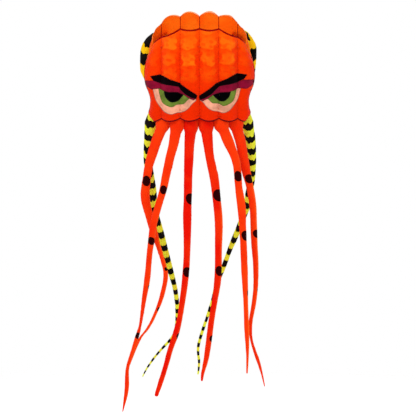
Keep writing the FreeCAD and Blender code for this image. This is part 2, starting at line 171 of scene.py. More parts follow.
def face_seam(seam, v):
    if seam in (0, CELLS):
        return edge_seam(-1 if seam == 0 else 1, v)
    rib = seam - 1
    return point_rows(RIB_X[rib], camber(v) + RIB_SWEEP[rib],
                      LIP_Z[rib] + (CHIN_Z - LIP_Z[rib]) * v)


def rib_place(rib, y, z):
    """Point of the middle rib's plan, placed on another rib."""
    front = NOSE_Y + CAMBER
    depth = front + RIB_SWEEP[rib] + (y - front) * RIB_DEPTH[rib]
    share = (z - CHIN_Z) / (CROWN_Z[2] - CHIN_Z)
    return point_rows(RIB_X[rib], depth, CHIN_Z + (CROWN_Z[rib] - CHIN_Z) * share)


def back_seam(seam, v):
    place = v * (len(BACK_PROFILE) - 1)
    if seam in (0, CELLS):
        z = smooth(tuple(enumerate(EDGE_LADDER)), place)
        return edge_seam(-1 if seam == 0 else 1,
                         (EDGE_TOP_Z - z) / (EDGE_TOP_Z - EDGE_BOTTOM_Z))
    y, z = (smooth(tuple(enumerate(column)), place) for column in zip(*BACK_PROFILE))
    return rib_place(seam - 1, y, z)


def skin(seam_of, cell, us, vs, outward, swell, sag):
    """Grid of points of one cell's cloth, and the unit vectors that point out of it."""
    left = seam_of(cell, vs)
    chord = seam_of(cell + 1, vs) - left
    fine = 1e-3
    low, high = np.clip(vs - fine, 0, 1), np.clip(vs + fine, 0, 1)
    down = (seam_of(cell, high) + seam_of(cell + 1, high)
            - seam_of(cell, low) - seam_of(cell + 1, low))
    normal = outward * unit(np.cross(chord, down))[:, None, :]
    bow = arch(us)[None, :, None]
    grid = left[:, None, :] + chord[:, None, :] * us[None, :, None] + normal * swell * bow
    grid[..., 2] -= sag[:, None] * bow[..., 0]
    return grid, normal


# ---- making pieces --------------------------------------------------
def grid_faces(rows, columns, closed=False):
    across = columns if closed else columns - 1
    row, column = np.meshgrid(np.arange(rows - 1), np.arange(across), indexing="ij")
    start = row * columns + column
    end = row * columns + (column + 1) % columns
    return np.stack([start, end, end + columns, start + columns], -1).reshape(-1, 4)


def make_piece(name, points, faces, materials, uv=None, values=None, face_materials=None):
    """Mesh object from points in millimetres, with its UVs and vertex values."""
    mesh = bpy.data.meshes.new(name)
    faces = [list(map(int, face)) for face in faces]
    mesh.from_pydata((np.asarray(points).reshape(-1, 3) * MM).tolist(), [], faces)
    for material in materials:
        mesh.materials.append(material)
    mesh.polygons.foreach_set("use_smooth", [True] * len(faces))
    if face_materials is not None:
        mesh.polygons.foreach_set("material_index", list(map(int, face_materials)))
    if uv is not None:
        layer = mesh.uv_layers.new(name="cloth")
        corners = np.asarray(uv, float)
        if len(corners) == len(mesh.vertices):
            corners = corners[np.concatenate([np.array(face) for face in faces])]
        layer.data.foreach_set("uv", (corners * MM).ravel())
    for key, value in (values or {}).items():
        attribute = mesh.attributes.new(key, "FLOAT", "POINT")
        attribute.data.foreach_set("value", np.asarray(value, np.float32).ravel())
    mesh.update()
    piece = bpy.data.objects.new(name, mesh)
    bpy.context.scene.collection.objects.link(piece)
    return piece


def uv_pairs(across, along):
    """UVs of a grid from its places across and along the cloth."""
    return np.stack(np.broadcast_arrays(across, along), -1).reshape(-1, 2)


def close_shell(piece):
    """Merge doubled points and turn all faces outward."""
    shell = bmesh.new()
    shell.from_mesh(piece.data)
    bmesh.ops.remove_doubles(shell, verts=shell.verts, dist=1e-6)
    bmesh.ops.recalc_face_normals(shell, faces=shell.faces)
    shell.to_mesh(piece.data)
    shell.free()


def sew_to_head(piece, node=None):
    """Finish a piece that rides on the head, in place of a CAD node if one is named."""
    if node:
        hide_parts(node)
    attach(piece, "head")


def closed_tube(rows, columns):
    """Faces of a tube of rings with both ends closed."""
    last = (rows - 1) * columns
    ends = [list(range(columns))[::-1], list(range(last, last + columns))]
    return grid_faces(rows, columns, closed=True).tolist() + ends


def strap(path, width_way, half_width, half_thickness):
    """Points and faces of a flat strap with rounded edges along a path."""
    path = np.asarray(path, float)
    along = unit(np.gradient(path, axis=0))
    width_way = unit(width_way - along * np.sum(width_way * along, -1, keepdims=True))
    thick_way = np.cross(along, width_way)
    turns = np.linspace(0, 2 * np.pi, 12, endpoint=False)
    across = np.sign(np.cos(turns)) * np.abs(np.cos(turns)) ** 0.4 * half_width
    through = np.sign(np.sin(turns)) * np.abs(np.sin(turns)) ** 0.7 * half_thickness
    rings = (path[:, None, :] + width_way[:, None, :] * across[None, :, None]
             + thick_way[:, None, :] * through[None, :, None])
    return rings.reshape(-1, 3), closed_tube(len(path), len(turns))


def join_shapes(shapes):
    """One list of points and faces from several."""
    points, faces, start = [], [], 0
    for shape_points, shape_faces in shapes:
        points.append(np.asarray(shape_points).reshape(-1, 3))
        faces += [[corner + start for corner in face] for face in shape_faces]
        start += len(points[-1])
    return np.concatenate(points), faces


def sew_shapes(name, shapes, material, uv_of, node=None):
    """Sew one piece made of several shapes to the head."""
    points, faces = join_shapes(shapes)
    piece = make_piece(name, points, faces, [material], uv=uv_of(points))
    close_shell(piece)
    sew_to_head(piece, node)


def upright(across):
    """UVs of an upright tape, all at one place across it."""
    return lambda points: np.stack([points[:, 0] * 0 + across, points[:, 2]], -1)


# ---- materials ------------------------------------------------------
def linear(r, g, b):
    """Linear colour of an 8-bit screen colour."""
    return tuple(((c / 255 + 0.055) / 1.055) ** 2.4 if c > 10 else c / 255 / 12.92
                 for c in (r, g, b)) + (1.0,)


def scaled(colour, share, more=0):
    """Linear colour of a darker or paler screen colour."""
    return linear(*(min(255, int(c * share) + more) for c in colour))


GRID_PITCH = 0.005       # metres between the ripstop's thick threads
GRID_TINT = 0.12
GRID_RISE = 0.25
GROOVE_WIDTH = 0.005
STITCH_PITCH = 0.0045
THREAD_TINT = 0.7
THREAD_RISE = 0.8


class Shade:
    """Short-hand for the nodes of one material."""

    def __init__(self, name):
        self.material = bpy.data.materials.new(name)
        self.material.use_nodes = True
        self.nodes = self.material.node_tree.nodes
        self.links = self.material.node_tree.links
        self.nodes.clear()

    def feed(self, socket, value):
        if isinstance(value, bpy.types.NodeSocket):
            self.links.new(value, socket)
        elif value is not None:
            socket.default_value = value

    def add(self, kind, *inputs, output=0, **settings):
        node = self.nodes.new("ShaderNode" + kind)
        named = {k: v for k, v in settings.items() if k[0].isupper()}
        for key, value in settings.items():
            if key not in named:
                setattr(node, key, value)
        for socket, value in zip(node.inputs, inputs):
            self.feed(socket, value)
        for key, value in named.items():
            self.feed(node.inputs[key.replace("_", " ")], value)
        return node.outputs[output] if len(node.outputs) else None

    def math(self, operation, *inputs, clamp=False):
        return self.add("Math", *inputs, operation=operation, use_clamp=clamp)

    def times(self, value, share, clamp=False):
        """Product of two values."""
        return self.math("MULTIPLY", value, share, clamp=clamp)

    def plus(self, value, *more, clamp=False):
        """Sum of any number of values."""
        for other in more:
            value = self.math("ADD", value, other, clamp=clamp)
        return value

    def apart(self, value, middle):
        """Distance of a value from a middle."""
        return self.math("ABSOLUTE", self.math("SUBTRACT", value, middle))

    def threads(self, along, pitch):
        """Round ribs that lie across a tape or a stitched border."""
        return self.math("ABSOLUTE", self.math("SINE", self.times(along, math.pi / pitch)))

    def value(self, name):
        return self.add("Attribute", output=2, attribute_name=name)

    def mix(self, share, first, second):
        node = self.nodes.new("ShaderNodeMix")
        node.data_type = "RGBA"
        for place, value in ((0, share), (6, first), (7, second)):
            self.feed(node.inputs[place], value)
        return node.outputs[2]

    def span(self, value, low, high, from_low=0.0, to_high=1.0):
        """Soft step of a value from low to high."""
        return self.add("MapRange", value, low, high, from_low, to_high,
                        interpolation_type="SMOOTHSTEP")

    def noise(self, scale, detail=3.0):
        return self.add("TexNoise", self.place(), Scale=scale, Detail=detail, Roughness=0.55)

    def place(self):
        return self.add("TexCoord", output=3)

    def axes_of(self, vector):
        node = self.nodes.new("ShaderNodeSeparateXYZ")
        self.feed(node.inputs[0], vector)
        return node.outputs

    def cloth_axes(self):
        """Place across and along the cloth, in metres."""
        return self.axes_of(self.add("TexCoord", output=2))[:2]

    def line(self, value, pitch, half_width):
        """1 on thin lines every pitch, 0 between them."""
        away = self.math("PINGPONG", value, pitch / 2)
        return self.math("LESS_THAN", away, half_width)

    def ripstop(self):
        """Raised grid threads."""
        across, along = self.cloth_axes()
        return self.math("MAXIMUM", self.line(across, GRID_PITCH, 0.0004),
                         self.line(along, GRID_PITCH, 0.0004))

    def stitches(self, seam, along, away=0.0035):
        """Dashes beside a seam: the seam's distance and the way along it, in metres."""
        near = self.math("LESS_THAN", self.apart(seam, away), 0.0006)
        part = self.math("FRACT", self.math("DIVIDE", along, STITCH_PITCH))
        return self.times(near, self.math("LESS_THAN", part, 0.7))

    def woven(self, colour, grid_colour, size, tint=GRID_TINT):
        """Ripstop over a colour; gives the colour and the cloth's bumps."""
        grid = self.ripstop()
        colour = self.mix(self.times(grid, tint), colour, grid_colour)
        return colour, self.plus(crinkle(self, size), self.times(grid, GRID_RISE))

    def sewn(self, colour, groove_shade):
        """Painted shade in seam grooves, stitches and ripstop on a colour; gives colour and
        bumps.
        """
        seam = self.value("seam")
        # Painted shade: darker in the groove along each seam.
        colour = self.mix(self.span(seam, 0.0, GROOVE_WIDTH, groove_shade, 0.0), colour,
                          linear(176, 24, 4))
        thread = self.stitches(seam, self.cloth_axes()[1])
        colour = self.mix(self.times(thread, THREAD_TINT), colour, linear(190, 30, 6))
        colour, bumps = self.woven(colour, linear(180, 25, 5), 1.0)
        return colour, self.plus(bumps, self.times(thread, THREAD_RISE))

    def finish(self, colour, height, roughness=0.55, see_through=0.3, bump=0.0006,
               sheen=0.03, gloss=0.12):
        """Cloth that shines a little and lets some light through."""
        normal = self.add("Bump", Distance=bump, Strength=1.0, Height=height)
        shader = self.add("BsdfPrincipled", colour, Specular_Tint=colour, Normal=normal,
                          Roughness=roughness, Sheen_Weight=sheen, Sheen_Roughness=0.4,
                          Specular_IOR_Level=gloss)
        if see_through:
            thin = self.add("BsdfTranslucent", colour, normal)
            shader = self.add("MixShader", see_through, shader, thin)
        self.add("OutputMaterial", shader)
        return self.material


def crinkle(shade, size):
    """Soft dents and sharp little creases of light nylon."""
    soft = shade.noise(22.0 / size, 2.0)
    sharp = shade.apart(shade.noise(38.0 / size, 3.0), 0.5)
    return shade.plus(shade.times(soft, 2.2), shade.times(sharp, 3.0))


def face_material():
    """Orange ripstop, painted paler higher up and where the forehead pillows are lit through."""
    shade = Shade("orange_face_ripstop")
    z = shade.axes_of(shade.place())[2]
    # Painted light: the face is painted paler towards the top, where more light falls on it.
    deep = shade.mix(shade.span(z, -0.72, -0.2), linear(238, 46, 2), linear(246, 54, 1))
    deep = shade.mix(shade.span(z, -0.15, 0.2), deep, linear(252, 84, 4))
    # Painted light: the glow value paints the pillows paler where light shows through them.
    pale = linear(255, 118, 12)
    glow = shade.value("glow")
    patchy = shade.times(glow, shade.span(shade.noise(9.0), 0.2, 0.75, 0.55, 1.25), clamp=True)
    colour = shade.mix(patchy, deep, pale)
    mottled = shade.span(shade.noise(14.0, 4.0), 0.3, 0.7, 0.0, 0.16)
    colour = shade.mix(mottled, colour, linear(225, 40, 5))
    colour, bumps = shade.sewn(colour, groove_shade=0.2)
    return shade.finish(colour, bumps, see_through=0.3, bump=0.001)


def back_material():
    """Paler orange ripstop of the crown and back."""
    shade = Shade("orange_back_ripstop")
    colour = shade.mix(shade.span(shade.noise(5.0, 3.0), 0.3, 0.7),
                       linear(252, 98, 10), linear(255, 122, 18))
    # Painted light: the crown edge is painted paler, as lit through from behind.
    colour = shade.mix(shade.value("glow"), colour, linear(255, 138, 28))
    colour, bumps = shade.sewn(colour, groove_shade=0.34)
    return shade.finish(colour, bumps, see_through=0.38, bump=0.001)


def plain_cloth(name, colour, see_through, gloss=0.12):
    """Even ripstop for ribs and eye patches."""
    shade = Shade(name)
    darker = scaled(colour, 0.82)
    tint = shade.mix(shade.span(shade.noise(12.0, 4.0), 0.35, 0.7), linear(*colour), darker)
    tint, bumps = shade.woven(tint, darker, 0.8, tint=0.18)
    return shade.finish(tint, bumps, roughness=0.6, see_through=see_through,
                        sheen=gloss / 4, gloss=gloss)


def thread_material(name, colour):
    """Close satin stitches that lie across an edge."""
    shade = Shade(name)
    rise = shade.threads(shade.cloth_axes()[1], 0.0011)
    # Painted shade: darker in the grooves between the stitches.
    tint = shade.mix(rise, scaled(colour, 0.55), linear(*colour))
    return shade.finish(tint, rise, roughness=0.45, see_through=0.0, bump=0.0004)


def tape_material(name, colour):
    """Grosgrain: fine ribs across the tape and a row of stitches along it."""
    shade = Shade(name)
    across, along = shade.cloth_axes()
    rise = shade.threads(along, 0.0014)
    # Painted shade: darker in the grooves between the tape's ribs.
    tint = shade.mix(rise, scaled(colour, 0.6), linear(*colour))
    tint = shade.mix(shade.span(shade.noise(30.0, 4.0), 0.35, 0.8, 0.0, 0.35), tint,
                     scaled(colour, 1.4, 8))
    thread = shade.stitches(across, along, 0.003)
    tint = shade.mix(shade.times(thread, 0.8), tint, scaled(colour, 1.5, 25))
    bumps = shade.plus(rise, shade.times(thread, 1.5))
    return shade.finish(tint, bumps, roughness=0.7, see_through=0.0, bump=0.0003)


def tentacle_material():
    """Red-orange ripstop with sewn-on dark spots."""
    shade = Shade("red_tentacle_ripstop")
    along = shade.cloth_axes()[1]
    tone = shade.plus(shade.span(shade.noise(4.0, 3.0), 0.3, 0.7, -0.2, 0.2),
                      shade.value("tone"), clamp=True)
    colour = shade.mix(tone, linear(230, 20, 6), linear(250, 72, 14))
    # Painted light: the lit-through right edge is painted paler.
    colour = shade.mix(shade.value("edge"), colour, linear(255, 128, 40))
    thread = shade.stitches(shade.value("seam"), along)
    colour = shade.mix(shade.times(thread, THREAD_TINT), colour, linear(170, 18, 6))
    spot = shade.value("spot")
    rim = shade.math("LESS_THAN", shade.apart(spot, 0.93), 0.035)
    inside = shade.math("LESS_THAN", spot, 1.0)
    dark = shade.mix(rim, linear(24, 1, 3), linear(8, 1, 2))
    colour = shade.mix(inside, colour, dark)
    colour, bumps = shade.woven(colour, linear(150, 20, 5), 0.7)
    bumps = shade.plus(bumps, shade.times(thread, THREAD_RISE), shade.times(inside, 1.2))
    clear = shade.math("SUBTRACT", 0.28, shade.times(inside, 0.26))
    return shade.finish(colour, bumps, see_through=clear)


def striped_material():
    """Black and yellow bands of ripstop sewn end to end."""
    shade = Shade("striped_ripstop")
    part = shade.math("FRACT", shade.value("band"))
    yellow = shade.math("GREATER_THAN", part, 0.5)
    z = shade.axes_of(shade.place())[2]
    lemon = shade.mix(shade.span(z, -0.75, -0.45), linear(232, 238, 62),
                      linear(252, 206, 20))
    lemon = shade.mix(shade.span(shade.noise(7.0, 3.0), 0.45, 0.8, 0.0, 0.5), lemon,
                      linear(244, 196, 30))
    black = shade.mix(shade.span(shade.noise(10.0, 3.0), 0.35, 0.7), linear(4, 4, 6),
                      linear(20, 16, 18))
    colour = shade.mix(yellow, black, lemon)
    border = shade.math("MINIMUM", part, shade.apart(part, 0.5))
    join = shade.math("LESS_THAN", border, 0.012)
    colour = shade.mix(shade.times(join, 0.6), colour, linear(60, 48, 10))
    colour, bumps = shade.woven(colour, linear(60, 50, 10), 0.7)
    bumps = shade.math("SUBTRACT", bumps, shade.times(join, 1.5))
    clear = shade.times(yellow, 0.28)
    return shade.finish(colour, bumps, see_through=clear, sheen=0.0, gloss=0.07)


FACE = face_material()
BACK = back_material()
RIB = plain_cloth("orange_rib_ripstop", (240, 70, 20), 0.4)
TAPE = tape_material("dark_red_tape", (132, 2, 4))
CROWN_TAPE = tape_material("brick_tape", (120, 18, 8))
CHIN_TAPE = tape_material("maroon_tape", (96, 6, 12))
WEBBING = tape_material("orange_webbing", (225, 52, 14))
TENTACLE = tentacle_material()
STRIPED = striped_material()
EYE_CLOTHS = {
    "eye_white": plain_cloth("peach_cloth", (240, 166, 136), 0.12),
    "iris": plain_cloth("olive_cloth", (108, 130, 48), 0.12),
    "pupil": plain_cloth("black_pupil_cloth", (3, 3, 4), 0.0, gloss=0.05),
    "eyelid": plain_cloth("maroon_lid_cloth", (134, 14, 46), 0.1),
    "eyebrow": plain_cloth("black_brow_cloth", (10, 3, 5), 0.0, gloss=0.05),
}
EYE_THREADS = {
    "eye_white": thread_material("peach_thread", (150, 96, 84)),
    "iris": thread_material("olive_thread", (96, 112, 44)),
    "pupil": thread_material("black_pupil_thread", (20, 20, 22)),
    "eyelid": thread_material("maroon_thread", (96, 12, 34)),
    "eyebrow": thread_material("black_brow_thread", (26, 12, 14)),
}


# ---- skins of the head ----------------------------------------------
COLUMNS = 33
ROWS = 161
spacing = np.linspace(0, 1, COLUMNS)
ACROSS = 0.5 * spacing + 0.25 * (1 - np.cos(np.pi * spacing))
DOWN = np.linspace(0, 1, ROWS)


TUCK_STRENGTH = 2.6
FINE_TUCK, COARSE_TUCK = 34.0, 75.0      # spacing of the folds along a seam
FINE_REACH, COARSE_REACH = 9.0, 26.0     # how far from the seam they are highest


def tucks(grid, seam_left, seam_right):
    """Small folds that the stitching draws up, nothing at the seam itself."""
    total = 0.0
    for seam, from_seam in ((seam_left, path_length(grid, 1)),
                            (seam_right, path_length(grid[:, ::-1], 1)[:, ::-1])):
        along = path_length(grid[:, 0 if seam == seam_left else -1])[:, None]
        ripple = waves(along[..., None], FINE_TUCK, 40 + seam, 6)
        coarse = waves(along[..., None], COARSE_TUCK, 60 + seam, 5)
        fade, reach = (from_seam / high * np.exp(1 - from_seam / high)
                       for high in (FINE_REACH, COARSE_REACH))
        total = total + TUCK_STRENGTH * (ripple * fade + 0.8 * coarse * reach)
    return total


PILLOW_PITCH = 163.0
PILLOW_TOP = 148.0
PILLOW_RISE = 9.0
PILLOWS_END, PILLOWS_FULL = -440.0, -300.0
GLOW_END, GLOW_FULL = -430.0, -120.0


def pillows(grid, us, cell):
    """Depth of the forehead's soft pillows, and how much light shows through them."""
    z = (grid[..., 2] + (26 + 8 * math.sin(2.3 * cell)) * arch(us)[None, :]
         + 9 * waves(grid[..., ::2], 90.0, 7) + 12 * math.sin(4.1 * cell))
    row = (PILLOW_TOP - z) / PILLOW_PITCH
    part = row - np.floor(row)
    inner = 1.0 if 0 < cell < CELLS - 1 else 0.3
    reach = step(PILLOWS_END, PILLOWS_FULL, grid[..., 2]) * inner
    bulge = np.sin(np.pi * part ** 1.5) ** 0.8 - 0.35
    bulge = np.where(row < 0, 0.0, bulge)
    ends = arch(us)[None, :] ** 0.5
    light = step(-0.1, 0.6, part) * (1 - step(0.86, 1.0, part))
    light = np.where(row < 0, 0.6, light)
    left = RIB_X[cell - 1] if cell > 0 else -520.0
    right = RIB_X[cell] if cell < CELLS - 1 else 540.0
    x = grid[..., 0]
    x = x + 12 * waves(grid[..., ::2], 75.0, 13)
    # Painted shade: the glow is cut off beside each rib, where the rib shades the cloth from
    # behind.
    sideways = step(left + 4, left + 34, x) * (1 - step(right - 52, right - 26, x))
    patch = 0.86 + 0.14 * waves(np.stack([np.floor(row) * 61.0 + cell * 37.0] * 2, -1), 50.0, 9)
    blotch = waves(grid[..., ::2] * [1.0, 1.5], 95.0, 11)
    patch = np.clip(patch - 0.5 * step(0.35, 1.1, blotch), 0.2, 1.1)
    glow = (0.16 + 0.84 * light) * patch * sideways * step(GLOW_END, GLOW_FULL, grid[..., 2])
    return PILLOW_RISE * bulge * reach * ends, glow * (1.0 if inner == 1.0 else 0.25)


def face_grid(cell):
    """Points of one face cloth and how much light shows through them."""
    sag = LIP_SAG * (1 - DOWN) ** 2 + CHIN_SAG[cell] * DOWN ** 2
    grid, outward = skin(face_seam, cell, ACROSS, DOWN, -1, FACE_SWELL, sag)
    depth, glow = pillows(grid, ACROSS, cell)
    calm = arch(ACROSS)[None, :] ** 0.5
    rise = depth + tucks(grid, cell, cell + 1)
    rise = rise + 3.0 * calm * waves(grid, 140.0, 90 + cell)
    rise = rise * (0.35 + 0.65 * step(0, 0.02, DOWN) * step(0, 0.03, 1 - DOWN))[:, None]
    return grid + outward * rise[..., None], glow


def back_grid(cell):
    """Points of one back cloth and how much light shows through its crown edge."""
    grid, outward = skin(back_seam, cell, ACROSS, DOWN, 1, BACK_SWELL, np.zeros(ROWS))
    calm = arch(ACROSS)[None, :] ** 0.5
    flat = grid * np.array([0.5, 1.0, 1.6])
    rise = tucks(grid, 20 + cell, 21 + cell) + 3.5 * calm * waves(flat, 130.0, 110 + cell)
    glow = step(0.0, 0.05, 0.14 - DOWN)[:, None] * calm ** 0.5
    rise = rise * (0.12 + 0.88 * step(0, 0.06, DOWN))[:, None]
    return grid + outward * rise[..., None], glow


def seam_distance(grid):
    """Distance of every point from the nearer of its cloth's two seams, in metres."""
    from_left = path_length(grid, 1)
    from_right = path_length(grid[:, ::-1], 1)[:, ::-1]
    return np.minimum(from_left, from_right) * MM


def cloth_uv(grid):
    """Flat place of every point, in millimetres, measured along the cloth."""
    across = path_length(grid, 1)
    across = across - across[:, -1:] / 2
    return uv_pairs(across, path_length(grid[:, grid.shape[1] // 2])[:, None])


FACE_GRIDS = []
BACK_GRIDS = []
for cell in range(CELLS):
    for grids, maker, kind, material in ((FACE_GRIDS, face_grid, "face", FACE),
                                         (BACK_GRIDS, back_grid, "back", BACK)):
        grid, glow = maker(cell)
        grids.append(grid)
        node = "%s_gore_%d" % (kind, cell + 1)
        faces = grid_faces(ROWS, COLUMNS)
        if kind == "face":
            faces = faces[:, ::-1]
        piece = make_piece(node + "_cloth", grid, faces, [material], uv=cloth_uv(grid),
                           values={"glow": glow, "seam": seam_distance(grid)})
        sew_to_head(piece, node)


# ---- tapes that bind the cloth's free edges -------------------------
HEM = 1.4                # how far a tape is folded round the cloth's edge
TAPE_RISE = 1.3


def binding(name, grids, at_end, rows, material, outward):
    """Folded tape over the first or last rows of all six cloths."""
    strips = []
    order = list(range(ROWS - 1, ROWS - 1 - rows, -1)) if at_end else list(range(rows))
    for grid in grids:
        strips.append((grid[order], normals_of(grid)[order] * outward))
    points = np.concatenate([s[0][:, :-1] for s in strips] + [strips[-1][0][:, -1:]], 1)
    normals = np.concatenate([s[1][:, :-1] for s in strips] + [strips[-1][1][:, -1:]], 1)
    for _ in range(2):
        normals[:, 1:-1] = unit(normals[:, :-2] + 2 * normals[:, 1:-1] + normals[:, 2:])
    hem = points[0] - unit(points[1] - points[0]) * HEM
    heights = np.full(rows, TAPE_RISE)
    heights[-1] = 0.5
    outer = points + normals * heights[:, None, None]
    inner = points - normals * heights[:, None, None]
    sheet = np.concatenate([outer[::-1], hem[None], inner], 0)
    across = np.cumsum(np.insert(np.linalg.norm(np.diff(sheet, axis=0), axis=-1).mean(1), 0, 0))
    along = path_length(points[0])
    piece = make_piece(name + "_cloth", sheet, grid_faces(*sheet.shape[:2]), [material],
                       uv=uv_pairs(across[:, None], along[None, :]))
    close_shell(piece)
    sew_to_head(piece, name)


binding("intake_lip_tape", FACE_GRIDS, False, 4, TAPE, -1)
binding("crown_tape", BACK_GRIDS, False, 2, CROWN_TAPE, 1)
binding("chin_tape", FACE_GRIDS, True, 3, CHIN_TAPE, -1)


PIPING_RADIUS = 3.0


def piping():
    """Shapes of the round piping in the two side seams."""
    shapes = []
    for side in (-1, 1):
        path = edge_seam(side, np.linspace(0, 1, 121))
        turns = np.linspace(0, 2 * np.pi, 10, endpoint=False)[None, :, None]
        along = unit(np.gradient(path, axis=0))
        first = unit(np.cross(along, [0.0, 1.0, 0.0]))
        second = np.cross(along, first)
        rings = path[:, None] + PIPING_RADIUS * (first[:, None] * np.cos(turns)
                                                 + second[:, None] * np.sin(turns))
        shapes.append((rings, closed_tube(*rings.shape[:2])))
    return shapes


sew_shapes("side_piping_cord", piping(), CHIN_TAPE, upright(5), "side_piping")


# ---- ribs -----------------------------------------------------------
def triangulated(outline, inner_points, holes=()):
    """Flat triangles inside an outline, around its holes, through the inner points."""
    vertices = [tuple(map(float, p)) for p in outline]
    constraints = [(i, (i + 1) % len(outline)) for i in range(len(outline))]
    for hole in holes:
        start = len(vertices)
        vertices += [tuple(map(float, p)) for p in hole]
        constraints += [(start + i, start + (i + 1) % len(hole)) for i in range(len(hole))]
    vertices += [tuple(map(float, p)) for p in inner_points]
    kind = 2 if holes else 1
    found = delaunay_2d_cdt([Vector(p) for p in vertices], constraints, [], kind, 1e-4)
    return np.array([tuple(p) for p in found[0]]), [list(f) for f in found[2]]


def rim_edges(faces):
    """Edges, in the direction of their face, that only one face has."""
    edges = {(a, b): None for face in faces for a, b in zip(face, face[1:] + face[:1])}
    return [(a, b) for a, b in edges if (b, a) not in edges]


def inside_outline(points, outline):
    """Which points lie inside a closed outline."""
    x, y = points[:, 0], points[:, 1]
    found = np.zeros(len(points), bool)
    for (x0, y0), (x1, y1) in zip(outline, np.roll(outline, -1, axis=0)):
        if y0 == y1:
            continue
        crosses = (y0 > y) != (y1 > y)
        found ^= crosses & (x < (x1 - x0) * (y - y0) / (y1 - y0) + x0)
    return found


def edge_distance(points, outline):
    """Distance of every point from a closed outline."""
    nearest = np.full(len(points), 1e9)
    for start, end in zip(outline, np.roll(outline, -1, axis=0)):
        way = end - start
        t = np.clip(((points - start) @ way) / max(way @ way, 1e-9), 0, 1)
        nearest = np.minimum(nearest, np.linalg.norm(points - start - t[:, None] * way, axis=1))
    return nearest


def circle(centre, radius):
    turns = np.linspace(0, 2 * np.pi, 28, endpoint=False)
    return np.stack([centre[0] + radius * np.cos(turns), centre[1] + radius * np.sin(turns)], -1)


def scoop_arc(seam, count=15):
    """The rib's hollowed intake edge, from the crown down to the lip."""
    top, low = back_seam(seam, np.array([0.0]))[0], face_seam(seam, np.array([0.0]))[0]
    t = np.linspace(0, 1, count)[:, None]
    return top + (low - top) * t + np.array([0, SCOOP, 0]) * arch(t)


RIB_HALF = 0.35          # half the thickness of a rib's cloth
RIB_INSET = 1.2          # how far a rib's edge stays behind the skins
RIB_PITCH = 22.0


def rib_outline(rib):
    """Outline (y, z) of a rib's cloth, just inside the skins."""
    down = np.linspace(0.0, RIB_END, 60)
    front = face_seam(rib + 1, down)[:, 1:] + np.array([RIB_INSET, 0.0])
    back = back_seam(rib + 1, down)[:, 1:] - np.array([RIB_INSET, 0.0])
    return np.concatenate([front, back[::-1], scoop_arc(rib + 1)[1:-1, 1:]])


def rib_piece(rib):
    """Cloth wall between two cells, with taped crossports."""
    outline = rib_outline(rib)
    ports = [(rib_place(rib, y, z)[1:], radius * RIB_DEPTH[rib])
             for y, z, radius in CROSSPORTS]
    ys, zs = np.meshgrid(np.arange(10, 420, RIB_PITCH), np.arange(-710, 320, RIB_PITCH))
    inner = np.stack([ys.ravel(), zs.ravel()], -1)
    inner = inner[inside_outline(inner, outline) & (edge_distance(inner, outline) > 8)]
    for centre, radius in ports:
        inner = inner[np.linalg.norm(inner - centre, axis=1) > radius + 14]
    holes = [circle(centre, radius) for centre, radius in ports]
    flat, faces = triangulated(outline, inner, holes=holes)
    calm = np.clip(edge_distance(flat, outline) / 60, 0, 1)
    for centre, radius in ports:
        calm *= np.clip((np.linalg.norm(flat - centre, axis=1) - radius) / 30, 0, 1)
    bend = 2.2 * calm * waves(flat, 120.0, 200 + rib)
    sheet = np.stack([RIB_X[rib] + bend, flat[:, 0], flat[:, 1]], -1)
    count = len(sheet)
    both = np.concatenate([sheet - [RIB_HALF, 0, 0], sheet + [RIB_HALF, 0, 0]])
    walls = [[a, b, b + count, a + count] for a, b in rim_edges(faces)]
    body = [face[::-1] for face in faces] + [[c + count for c in face] for face in faces]
    shapes = [(both, body + walls)] + [port_ring(rib, *port) for port in ports]
    marks = [int(i > 0) for i, shape in enumerate(shapes) for _ in shape[1]]
    points, faces = join_shapes(shapes)
    piece = make_piece("rib_%d_cloth" % (rib + 1), points, faces, [RIB, WEBBING],
                       uv=points[:, 1:], face_materials=marks)
    close_shell(piece)
    sew_to_head(piece, "rib_%d" % (rib + 1))


def port_ring(rib, centre, radius):
    """Tape ring sewn round a crossport, on both faces of the cloth."""
    turns = np.linspace(0, 2 * np.pi, 37)[:-1]
    section = ((-0.6, 1.0), (-0.2, 1.4), (9.0, 1.2), (9.6, 0.4), (9.6, -0.4), (9.0, -1.2),
               (-0.2, -1.4), (-0.6, -1.0))
    rings = []
    for turn in turns:
        way = np.array([math.cos(turn), math.sin(turn)])
        rings.append([(RIB_X[rib] + off, *(centre + way * (radius + out)))
                      for out, off in section])
    points = np.array(rings)
    rows, columns = points.shape[:2]
    closed = np.concatenate([points, points[:1]], 0)
    faces = grid_faces(rows + 1, columns, closed=True) % (rows * columns)
    return closed[:-1].reshape(-1, 3), faces.tolist()


def rib_edge(rib):
    """Binding on the rib's open intake edge."""
    path = scoop_arc(rib + 1, 41)
    return strap(path, np.array([1.0, 0.0, 0.0]), 3.2, 3.0)


for rib in range(RIBS):
    rib_piece(rib)

sew_shapes("rib_edge_bindings", [rib_edge(rib) for rib in range(RIBS)], TAPE, upright(4))


# ---- bridle loops ---------------------------------------------------
EYE_RADIUS = 6.0
LOWER_LOOP_Z = -684.0
LOOPS = [(rib, 0.0) for rib in (0, 2, 4)] + [(rib, LOWER_LOOP_Z) for rib in (1, 2, 3)]


def loop_shape(rib, z):
    """Webbing folded round an upright eye and sewn into the seam behind it."""
    stand_off = camber(LIP_Z[2] / (LIP_Z[2] - CHIN_Z))
    share = (LIP_Z[rib] - z) / (LIP_Z[rib] - CHIN_Z)
    eye = np.array([RIB_X[rib], camber(share) + RIB_SWEEP[rib] - stand_off, z])
    radius = EYE_RADIUS + 1.3
    turns = np.radians(np.linspace(20, 340, 29)) + np.pi / 2
    ring = [(math.cos(t) * radius, math.sin(t) * radius) for t in turns]
    left = [(-1.25, y) for y in (24.0, 18.0, 12.0, 9.5)]
    right = [(1.25, y) for y in (9.5, 12.0, 18.0, 24.0)]
    path = np.array([(x, y, 0.0) for x, y in left + ring + right]) + eye
    return strap(path, np.array([0.0, 0.0, 1.0]), 6.0, 1.1)


sew_shapes("bridle_loops_webbing", [loop_shape(rib, z) for rib, z in LOOPS], WEBBING,
           lambda points: points[:, 2:0:-1], "bridle_loops")


